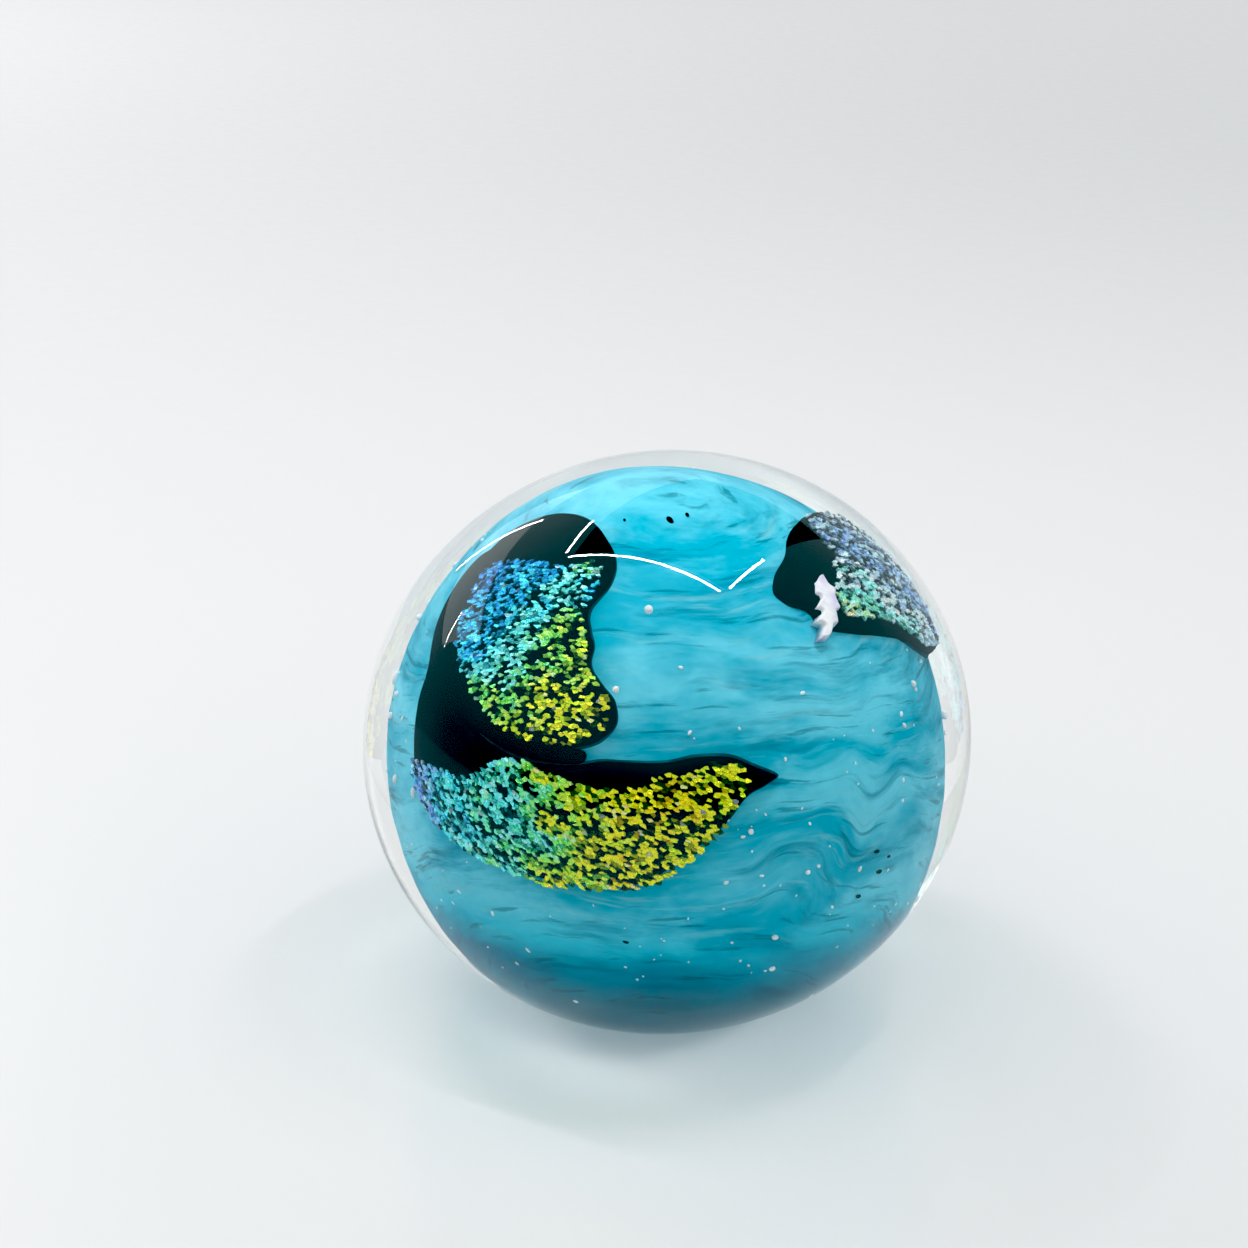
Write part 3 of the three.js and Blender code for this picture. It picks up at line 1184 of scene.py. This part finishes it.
class FlakeBed:
    """Lays the flakes of one film: cells between scattered seeds, split into plates by cracks."""

    def __init__(self, core: Core, chip: Chip, base: float, crackle: Crackle = Crackle()) -> None:
        """Scatters the seeds of the flakes and the plates.

        Args:
            core: the core.
            chip: the chip that the film lies on.
            base: radius of the chip's top.
            crackle: how the film is broken up and lit.
        """
        film = self.film = chip.film
        self.crackle = crackle
        self.name = f"{chip.name}_flakes"
        self.base = base
        self.chart = CoreMap(core, film.outline)
        self.ring = widened(smooth_ring(self.chart.points, crackle.curve_steps), crackle.beyond)
        self.rng = np.random.default_rng(film.seed)
        flow, heading = math.radians(film.flow), math.radians(film.heading)
        self.turn = np.array([[math.cos(flow), math.sin(flow)], [-math.sin(flow), math.cos(flow)]])
        self.squeeze = np.array([1 / film.stretch, 1.0])
        self.heading = np.array([math.cos(heading), math.sin(heading)])
        along = self.ring @ self.heading
        self.low, self.high = float(along.min()), float(along.max())
        self.seeds = self.net(film.grain, crackle.seed_shake)
        self.plates = self.net(film.plate, crackle.plate_shake)
        self.plate_tilt = self.rng.normal(0, crackle.plate_tilt, (len(self.plates), 2))
        self.plate_shift = self.rng.normal(0, crackle.plate_shift, len(self.plates))

    def to_flow(self, flat: np.ndarray) -> np.ndarray:
        """Turns map points into the space where cells are round."""
        return (flat @ self.turn.T) * self.squeeze

    def from_flow(self, flat: np.ndarray) -> np.ndarray:
        """Turns cell space back into map points."""
        return (flat / self.squeeze) @ self.turn

    def net(self, spacing: float, shake: float) -> np.ndarray:
        """Points of a shaken hexagonal net over the film, in cell space.

        Args:
            spacing: distance between points.
            shake: how far each is moved at most, as a share of the spacing.

        Returns:
            The points, one row each.
        """
        ring = self.to_flow(self.ring)
        low, high = ring.min(0) - 3 * spacing, ring.max(0) + 3 * spacing
        across = np.arange(low[0], high[0], spacing)
        along = np.arange(low[1], high[1], spacing * 0.87)
        net = np.stack(np.meshgrid(across, along), -1)
        net[1::2, :, 0] += spacing / 2
        net = net.reshape(-1, 2)
        return net + self.rng.uniform(-shake, shake, net.shape) * spacing

    def cells(self) -> list[tuple[int, np.ndarray]]:
        """The cell round each seed, as the ring of centres of the triangles that meet there.

        Returns:
            The number of each seed, with its cell's corners.
        """
        scale = float(np.ptp(self.seeds, axis=0).max())
        flat = [Vector(p) / scale for p in self.seeds]
        places, _, faces, origin, *_ = geometry.delaunay_2d_cdt(flat, [], [], 0, 1e-7)
        spots = np.array([tuple(p) for p in places]) * scale
        around: dict[int, list[np.ndarray]] = {}
        for a, b, c in faces:
            centre = self.centre(spots[a], spots[b], spots[c])
            for i in (a, b, c):
                around.setdefault(i, []).append(centre)
        rings = []
        for i, centres in around.items():
            if len(centres) < 3 or not origin[i]:
                continue
            ring = np.array(centres)
            angle = np.arctan2(ring[:, 1] - spots[i, 1], ring[:, 0] - spots[i, 0])
            rings.append((origin[i][0], ring[np.argsort(angle)]))
        return rings

    @staticmethod
    def centre(a: np.ndarray, b: np.ndarray, c: np.ndarray) -> np.ndarray:
        """The middle of the circle through three points.

        Args:
            a: the first point.
            b: the second point.
            c: the third point.

        Returns:
            The middle.
        """
        ab, ac = b - a, c - a
        twice = 2 * (ab[0] * ac[1] - ab[1] * ac[0])
        if abs(twice) < 1e-18:
            return (a + b + c) / 3
        u = (ab @ ab) * ac[1] - (ac @ ac) * ab[1]
        v = (ac @ ac) * ab[0] - (ab @ ab) * ac[0]
        return a + np.array([u, v]) / twice

    def share(self, spot: np.ndarray) -> float:
        """How far a spot lies across the film, along its heading, from 0 to 1."""
        return (spot @ self.heading - self.low) / (self.high - self.low)

    def colour(self, spot: np.ndarray, plate_shift: float) -> Colour:
        """The colour of a flake, from its place across the film, times a random painted brightness that
        ranges from painted shade to painted glints.

        Args:
            spot: its seed on the map.
            plate_shift: how far its plate's colour is shifted.

        Returns:
            The colour.
        """
        film, c, rng = self.film, self.crackle, self.rng
        patchy = noise.noise(Vector((*(spot / c.patch_size), film.seed)))
        share = self.share(spot) + c.patch_shift * patchy + plate_shift + rng.normal(0, c.colour_shake)
        share = min(max(share, 0.0), 1.0)
        places = [place for place, _ in film.stops]
        mixed = [np.interp(share, places, [colour[k] for _, colour in film.stops]) for k in range(3)]
        # painted light: each flake gets a random brightness, from dull to glinting, multiplied into its
        # colour
        painted_dark_odds = c.painted_dark_odds[0] + c.painted_dark_odds[1] * share
        lit = 1 - c.bright - c.painted_half_lit_odds - painted_dark_odds
        light = rng.choice(c.lights, p=[painted_dark_odds, c.painted_half_lit_odds, lit, c.bright]) * rng.uniform(*c.painted_light_span)
        pale = c.paleness if rng.random() < c.pale_odds else 0.0
        glint_softening = max(1.0, light * max(mixed) / c.ceiling) ** c.glint_softening
        return tuple(min(m * light / glint_softening * (1 - pale) + pale, c.ceiling) for m in mixed)

    def torn_away(self, seed: np.ndarray, spot: np.ndarray, crack: float) -> bool:
        """Whether a flake is missing, along a ridge or a crack or by chance.

        Args:
            seed: its seed in cell space.
            spot: its seed on the map.
            crack: how far it lies from the next plate, in plate widths.

        Returns:
            True if it is missing.
        """
        c = self.crackle
        warped = Vector((*(seed / c.ridge_size), self.film.seed + 7))
        ridge = abs(noise.noise(warped + 0.5 * noise.noise_vector(warped * c.ridge_bend)))
        torn = self.film.torn * (c.torn[0] + c.torn[1] * self.share(spot))
        broken = ridge < c.ridge_gap * torn or crack < c.crack_gap * torn
        return broken or self.rng.random() < c.lost * torn

    def flake(self, spot: np.ndarray, cell: np.ndarray, plate_tilt: np.ndarray) -> np.ndarray | None:
        """The corners of one flake.

        Args:
            spot: its seed on the map.
            cell: its cell's ring, in cell space.
            plate_tilt: the tilt of the plate that it belongs to.

        Returns:
            The corners of its top and then of its foot, or None if it's too long or too near the edge.
        """
        c, rng = self.crackle, self.rng
        middle = cell.mean(0)
        size = c.size + rng.uniform(*c.size_span)
        ring = self.from_flow(middle + (cell - middle) * size)
        ring = ring + rng.normal(0, c.corner_shake, ring.shape)
        reach = np.linalg.norm(ring - spot, axis=1).max()
        margin = edge_distance(spot[None], self.ring)[0]
        if reach > c.longest * self.film.grain * self.film.stretch or margin < c.margin:
            return None
        if clockwise(ring):
            ring = ring[::-1]
        tilt = plate_tilt + rng.normal(0, c.tilt, 2)
        heights = np.clip((ring - spot) @ tilt, -c.tilt_limit, c.tilt_limit)
        heights = heights + c.height + rng.uniform(0, c.height_span) * MM
        foot = spot + (ring - spot) * c.foot_size
        depth = np.full(len(ring), self.base - c.foot_depth)
        top = self.chart.raise_up(ring, self.base + heights)
        return np.concatenate([top, self.chart.raise_up(foot, depth)])

    def lay(self) -> bpy.types.Object:
        """Makes the piece that holds every flake of the film.

        Returns:
            The piece.
        """
        points: list[np.ndarray] = []
        faces: list[tuple[int, ...]] = []
        colours: list[Colour] = []
        for index, cell in self.cells():
            seed = self.seeds[index]
            spot = self.from_flow(seed[None])[0]
            if not inside(spot[None], self.ring)[0]:
                continue
            reach = np.linalg.norm(self.plates - seed, axis=1)
            own, other = np.argsort(reach)[:2]
            if self.torn_away(seed, spot, (reach[other] - reach[own]) / self.film.plate):
                continue
            corners = self.flake(spot, cell, self.plate_tilt[own])
            if corners is None:
                continue
            top, foot = len(colours), len(colours) + len(cell)
            faces.append(tuple(range(top, foot)))
            faces.append(tuple(reversed(range(foot, foot + len(cell)))))
            for i in range(len(cell)):
                j = (i + 1) % len(cell)
                faces.append((top + j, top + i, foot + i, foot + j))
            points.append(corners)
            colours.extend([self.colour(spot, self.plate_shift[own])] * len(corners))
        piece = new_piece(self.name, np.concatenate(points), faces, smooth=False)
        layer = piece.data.color_attributes.new(MirrorFilm().layer, "FLOAT_COLOR", "POINT")
        layer.data.foreach_set("color", [v for c in colours for v in (*c, 1.0)])
        return piece


@dataclass
class Decoration:
    """Everything that lies on the core: chips, films, fleck, bubbles and grains."""

    core: Core
    finishes: Finishes
    spread: float = -0.20 * MM
    thin_edge: float = 0.20 * MM
    thin_proud: float = 0.04 * MM
    chip_rim: float = 0.55 * MM
    thin_rim: float = 0.5 * MM
    bridge_drop: float = 0.12 * MM
    fleck_sink: float = 0.6 * MM
    fleck_proud: float = 0.35 * MM
    fleck_rim: float = 0.12 * MM
    bubble_lift: float = 0.2
    pit_sink: float = 0.05 * MM
    pit_stretch: float = 2.2
    # height above the core of the two white balls that are painted highlights of bubbles
    bubble_glint_lift: float = 1.6 * MM
    seed_sink: float = 0.12 * MM
    bubbles: list[tuple[float, float, float, float]] = field(
        default_factory=lambda: [
            (20, 62, 0.10, 1.5), (48, 12, 0.13, 1.2), (84, 22, 0.16, 1.8), (-30, -22, 0.10, 1.0),
        ]
    )
    # painted highlights: two bright white balls standing in for the lamps' glints in two bubbles, as
    # azimuth, elevation and radius in mm
    bubble_glints: list[tuple[float, float, float]] = field(
        default_factory=lambda: [(-8, 55, 0.31), (-15, 35, 0.23)]
    )
    dark_specks: list[tuple[float, float, float]] = field(
        default_factory=lambda: [
            (96, 89, 0.20), (120, 84, 0.12), (60, -14, 0.13), (63, -20, 0.15), (66, -17, 0.10),
            (57, -25, 0.12), (-12, -31, 0.10), (-100, 80, 0.09),
        ]
    )
    grain_count: int = 300
    seed: int = 5

    def chips(self) -> None:
        """Lays the black chips and their films."""
        top = self.core.radius + self.core.chip_proud
        low = self.core.radius - self.core.chip_sink
        for chip in CHIPS:
            body = pad(self.core, f"{chip.name}_chip", chip.outline, low, top, self.spread,
                       self.chip_rim, True)
            fit(body, self.finishes.get(BlackGlass()), "black_glass", f"{chip.name}_black_chip")
            thin = pad(self.core, f"{chip.name}_edge", chip.outline, low, self.core.radius + self.thin_proud,
                       self.spread + self.thin_edge, self.thin_rim, True)
            fit(thin, self.finishes.get(THIN_BLACK), "black_glass")
            flakes = FlakeBed(self.core, chip, top).lay()
            fit(flakes, self.finishes.get(MirrorFilm()), "mirror_film", f"{chip.name}_mirror_film")

    def bridge(self) -> None:
        """Lays the thin black glass that ran together between the left and the lower chip."""
        top = self.core.radius + self.core.chip_proud - self.bridge_drop
        low = self.core.radius - self.core.chip_sink
        piece = pad(self.core, "black_bridge", BRIDGE_OUTLINE, low, top, 0.0, self.thin_rim, True)
        fit(piece, self.finishes.get(BlackGlass()), "black_glass")

    def fleck(self) -> None:
        """Lays the torn white fleck."""
        top = self.core.radius + self.core.chip_proud
        piece = pad(self.core, "torn_fleck", FLECK_OUTLINE, top - self.fleck_sink,
                    top + self.fleck_proud, 0.0, self.fleck_rim, False)
        fit(piece, self.finishes.get(MilkyGlass()), "white_glass", "pale_fleck")

    def air(self) -> None:
        """Places the larger bubbles, each a little above the core."""
        blobs = []
        for azimuth, elevation, radius, above in self.bubbles:
            ray = Vector(direction(azimuth, elevation))
            place = self.core.middle + ray * (self.core.radius + (above + self.bubble_lift) * MM)
            blobs.append((place, radius * MM, 0.8, ray))
        fit(scatter("air_bubbles", blobs), self.finishes.get(TrappedAir()), "clear_glass")

    def pits(self) -> None:
        """Sinks a few dark specks into the surface of the colour."""
        blobs = []
        for azimuth, elevation, radius in self.dark_specks:
            ray = Vector(direction(azimuth, elevation))
            place = self.core.middle + ray * (self.core.radius - self.pit_sink)
            axis = ray.cross(Vector((0.3, 0.1, 1))).normalized()
            blobs.append((place, radius * MM, self.pit_stretch, axis))
        fit(scatter("dark_pits", blobs), self.finishes.get(BlackGlass()), "black_glass")

    def grains(self) -> None:
        """Scatters white seeds over the lower half of the core, and places two bright white balls as painted
        highlights of bubbles.
        """
        rng = np.random.default_rng(self.seed)
        blobs = []
        # painted highlights of two bubbles, as white balls in the seeds' white glass
        for azimuth, elevation, radius in self.bubble_glints:
            ray = Vector(direction(azimuth, elevation))
            place = self.core.middle + ray * (self.core.radius + self.bubble_glint_lift)
            blobs.append((place, radius * MM, 1.1, Vector((0, 0, 1))))
        while len(blobs) < self.grain_count:
            azimuth = rng.uniform(-180, 180)
            elevation = rng.normal(-12, 22)
            if not -62 < elevation < 75:
                continue
            ray = Vector(direction(azimuth, elevation))
            size = float(np.clip(rng.lognormal(-2.55, 0.5), 0.04, 0.20)) * MM
            axis = ray.cross(Vector((rng.normal(), rng.normal(), rng.normal()))).normalized()
            place = self.core.middle + ray * (self.core.radius + 0.25 * size - self.seed_sink)
            blobs.append((place, size, float(rng.uniform(0.8, 1.9)), axis))
        finish = MilkyGlass("seed_and_glint_glass", cast=(0.74, 0.86, 0.95))
        fit(scatter("white_seeds_and_bubble_glints", blobs), self.finishes.get(finish), "white_glass")


@dataclass
class GlassBody:
    """The casing, the turquoise layer and the clear heart."""

    ball: Ball
    core: Core
    finishes: Finishes
    sides: int = 256
    wall_overlap: float = 0.3 * MM
    bevel: float = 0.35 * MM
    skin_steps: int = 120
    bevel_steps: int = 6
    base_shares: tuple[float, ...] = (0.35, 0.7, 1.0)
    fusing: float = 0.1 * MM
    foot_lift: float = 0.02 * MM
    wave_depth: float = 0.05 * MM
    lump_depth: float = 0.22
    ripple_depth: float = 0.06
    lumpless: float = 8 * MM

    def casing(self) -> None:
        """Makes the clear casing: the ball's skin, its flat base and its hidden inner wall."""
        sides, ball = self.sides, self.ball
        turn = 2 * math.pi / sides
        floor_rise = math.asin(-ball.height / ball.reach)
        edge_rise = math.asin((self.bevel - ball.height) / ball.reach)
        rings = []
        for k in range(1, self.skin_steps + 1):
            rise = math.pi / 2 + (edge_rise - math.pi / 2) * k / self.skin_steps
            rings.append([self.wavy(ball.at(rise, i * turn)) for i in range(sides)])
        foot = [ball.at(floor_rise, i * turn) for i in range(sides)]
        last = rings[-1]
        for k in range(1, self.bevel_steps + 1):
            t = k / self.bevel_steps
            ring = []
            for wall, edge in zip(last, foot):
                inward = Vector((-edge.x, -edge.y, 0)).normalized() * self.bevel
                low = edge + inward * 0.6
                ring.append(wall * (1 - t) ** 2 + edge * 2 * t * (1 - t) + low * t**2)
            rings.append(ring)
        hole = self.core.collar_radius - self.wall_overlap
        rim, hole_ring = rings[-1], level_ring(hole, 0.0, sides)
        for share in self.base_shares:
            rings.append([a.lerp(b, share) for a, b in zip(rim, hole_ring)])
        inner = self.core.profile(self.core.radius - self.wall_overlap, hole, 0.0, 48)
        rings.extend(level_ring(r, z, sides) for r, z in reversed(inner[1:-1]))
        top = self.wavy(ball.at(math.pi / 2, 0.0))
        points, faces = revolve(rings, top, Vector((0, 0, inner[0][1])))
        piece = new_piece("casing", points, faces)
        piece.data.set_sharp_from_angle(angle=SHARP)
        fit(piece, self.finishes.get(ClearGlass()), "clear_glass", "clear_casing")

    def wavy(self, place: Vector) -> Vector:
        """Moves a point of the skin inwards by the slight unevenness of a hand-shaped ball.

        Args:
            place: a point of the skin.

        Returns:
            The moved point.
        """
        inward = (self.core.middle - place).normalized()
        swell = noise.noise(place * 55) + 0.5
        return place + inward * swell * self.wave_depth

    def lumpy(self, place: Vector) -> Vector:
        """Moves a point of the core inwards by the unevenness of colour rolled on hot glass.

        Args:
            place: a point of the core's surface.

        Returns:
            The moved point.
        """
        inward = (self.core.middle - place).normalized()
        broad = noise.noise(place * 110) + 0.4
        fine = noise.noise(Vector((place.x * 260, place.y * 260, place.z * 900)))
        fade = min(max(place.z / self.lumpless, 0.0), 1.0)
        return place + inward * fade * (self.lump_depth * broad + self.ripple_depth * fine) * MM

    def colour_layer(self) -> None:
        """Makes the turquoise layer: lumpy outside, hollow for the heart and open at the base."""
        core, sides = self.core, self.sides
        lift = self.foot_lift
        outer = core.profile(core.radius, core.collar_radius, lift, 128)
        inner = core.profile(core.heart_radius, core.stem_radius, lift, 40)
        rings = [[self.lumpy(p) for p in level_ring(r, z, sides)] for r, z in outer[1:]]
        rings.extend(level_ring(r, z, sides) for r, z in reversed(inner[1:]))
        points, faces = revolve(
            rings, self.lumpy(Vector((0, 0, outer[0][1]))), Vector((0, 0, inner[0][1]))
        )
        piece = new_piece("turquoise", points, faces)
        piece.data.set_sharp_from_angle(angle=SHARP)
        fit(piece, self.finishes.get(OpalGlass()), "turquoise_glass", "turquoise_layer")

    def heart(self) -> None:
        """Makes the clear heart with its stem, fused into the colour all round."""
        core = self.core
        outline = core.profile(core.heart_radius + self.fusing, core.stem_radius + self.fusing, 0.0, 48)
        rings = [level_ring(r, z, 96) for r, z in outline[1:]]
        points, faces = revolve(rings, Vector((0, 0, outline[0][1])), Vector((0, 0, 0)))
        piece = new_piece("heart", points, faces)
        piece.data.set_sharp_from_angle(angle=SHARP)
        fit(piece, self.finishes.get(ClearGlass()), "clear_glass", "clear_heart")


# ---------------------------------------------------------------- studio


@dataclass
class Studio:
    """A white table in a soft light box with a frame of thin lamps in its ceiling."""

    ball: Ball
    finishes: Finishes
    focal: float = 69.5
    distance: float = 203 * MM
    pitch: float = math.radians(20.3)
    aim: Point = (0.01742, -0.0477)
    ceiling: float = 400 * MM
    black: Colour = (0.052, 0.020, 0.016)
    fill: float = 0.80
    walls: tuple[Stop, ...] = (
        (0.0, (0.34, 0.35, 0.36)), (0.5, (0.46, 0.47, 0.48)), (1.0, (0.95, 0.95, 0.96)),
    )
    table_drop: float = 0.05 * MM
    table_depth: float = 20 * MM
    strip_width: float = 5 * MM
    above: float = 5 * MM
    flag_middle: Point = (0.082, 0.279)
    flag_half: Point = (0.17, 0.25)
    strips: tuple[tuple[str, Point, Point, float], ...] = (
        ("strip_front", (-0.203, 0.147), (0.093, -0.032), 0.42),
        ("strip_right", (0.112, -0.018), (0.178, 0.104), 0.22),
        ("strip_left", (-0.205, 0.169), (-0.146, 0.270), 0.22),
        ("strip_far", (-0.280, 0.483), (-0.898, 1.187), 0.9),
        ("strip_side", (-0.711, 0.408), (-1.069, 0.471), 0.5),
    )

    def camera(self) -> None:
        """Places the camera."""
        data = bpy.data.cameras.new("camera")
        data.sensor_width = 36
        data.lens = self.focal
        data.clip_start = 1 * MM
        camera = bpy.data.objects.new("camera", data)
        x, y = self.aim
        c, s = math.cos(self.pitch), math.sin(self.pitch)
        view = Vector((x, c + y * s, -s + y * c)).normalized()
        camera.location = Vector((0, 0, self.ball.height)) - view * self.distance
        camera.rotation_euler = (math.pi / 2 - self.pitch, 0, 0)
        bpy.context.scene.collection.objects.link(camera)
        bpy.context.scene.camera = camera

    def floor(self) -> None:
        """Lays the table."""
        points, faces = revolve(
            [level_ring(r, -self.table_drop, 64) for r in (0.05, 0.2, 0.8, 4.0)],
            Vector((0, 0, -self.table_drop)),
            Vector((0, 0, -self.table_depth)),
        )
        table = new_piece("table", points, faces, smooth=False)
        table.data.materials.append(self.finishes.get(WhiteTable()))

    def lamp(self, name: str, place: Vector, size: Point, watts: float, spin: float = 0.0) -> None:
        """Hangs a rectangular lamp that faces down.

        Args:
            name: the lamp's name.
            place: where it hangs.
            size: its width and depth.
            watts: its power.
            spin: its turn about the vertical, in degrees.
        """
        data = bpy.data.lights.new(name, "AREA")
        data.shape = "RECTANGLE"
        data.size, data.size_y = size
        data.energy = watts
        lamp = bpy.data.objects.new(name, data)
        lamp.location = place
        lamp.rotation_euler = (0, 0, math.radians(spin))
        bpy.context.scene.collection.objects.link(lamp)

    def strip(self, name: str, start: Point, end: Point, watts: float) -> None:
        """Hangs a thin lamp in the ceiling from one corner to another.

        Args:
            name: the lamp's name.
            start: its first end.
            end: its second end.
            watts: its power.
        """
        a, b = Vector((*start, self.ceiling)), Vector((*end, self.ceiling))
        spin = math.degrees(math.atan2(b.y - a.y, b.x - a.x))
        self.lamp(name, (a + b) / 2, ((b - a).length, self.strip_width), watts, spin)

    def flag(self) -> None:
        """Hangs a dark cloth inside the lamp frame, so the black glass stays black there."""
        middle = Vector((*self.flag_middle, self.ceiling + self.above))
        side = Vector((-0.866, 0.5, 0)) * self.flag_half[0]
        back = Vector((0.5, 0.866, 0)) * self.flag_half[1]
        points = [middle + side * a + back * b for a, b in ((-1, -1), (1, -1), (1, 1), (-1, 1))]
        cloth = new_piece("flag", np.array(points), [(0, 1, 2, 3)], smooth=False)
        cloth.data.materials.append(self.finishes.get(DarkCloth()))

    def lights(self) -> None:
        """Lights the box: one broad soft lamp, and thin strips that draw lines on the glass."""
        self.lamp("side_panel", Vector((-0.64, 0.60, self.ceiling + self.above)), (0.72, 0.62), 1.3, 50)
        for name, start, end, watts in self.strips:
            self.strip(name, start, end, watts)

    def world(self) -> None:
        """Fills the box with white that darkens to the sides and behind the camera."""
        world = bpy.data.worlds.new("light_box")
        world.use_nodes = True
        bpy.context.scene.world = world
        tree = world.node_tree
        tree.nodes.clear()
        w = Wiring(tree)
        axis = w.add("SeparateXYZ", Vector=w.add("TexCoord").outputs["Generated"]).outputs
        back = w.add("MapRange", {"interpolation_type": "SMOOTHSTEP"}, Value=axis["Y"],
                     From_Min=-0.6, From_Max=0.6).outputs[0]
        up = w.add("MapRange", {"interpolation_type": "SMOOTHSTEP"}, Value=axis["Z"],
                   From_Min=0.10, From_Max=0.45).outputs[0]
        walls = w.ramp(back, self.walls)
        filled = w.blend(up, walls, (1, 1, 1, 1))
        shine = w.add("Background", Color=filled, Strength=self.fill)
        out = w.add("OutputWorld")
        tree.links.new(shine.outputs[0], out.inputs["Surface"])

    def build(self) -> None:
        """Sets up the whole studio."""
        self.camera()
        self.floor()
        self.lights()
        self.flag()
        self.world()
        view = bpy.context.scene.view_settings
        view.view_transform = "Standard"
        view.use_curve_mapping = True
        view.curve_mapping.black_level = self.black
        view.curve_mapping.update()


def corners(box: tuple) -> list[list[float]]:
    """A box as plain lists."""
    return [list(map(float, corner)) for corner in box]


def main() -> None:
    """Builds the paperweight and its studio."""
    logging.basicConfig(level=logging.INFO, format="%(name)s %(message)s")
    noise.seed_set(NOISE_SEED)
    ball = Ball()
    core = Core(ball)
    finishes = Finishes()
    Studio(ball, finishes).build()
    body = GlassBody(ball, core, finishes)
    body.heart()
    body.colour_layer()
    decoration = Decoration(core, finishes)
    decoration.chips()
    decoration.bridge()
    decoration.fleck()
    decoration.grains()
    decoration.pits()
    decoration.air()
    body.casing()


if __name__ == "__main__":
    main()
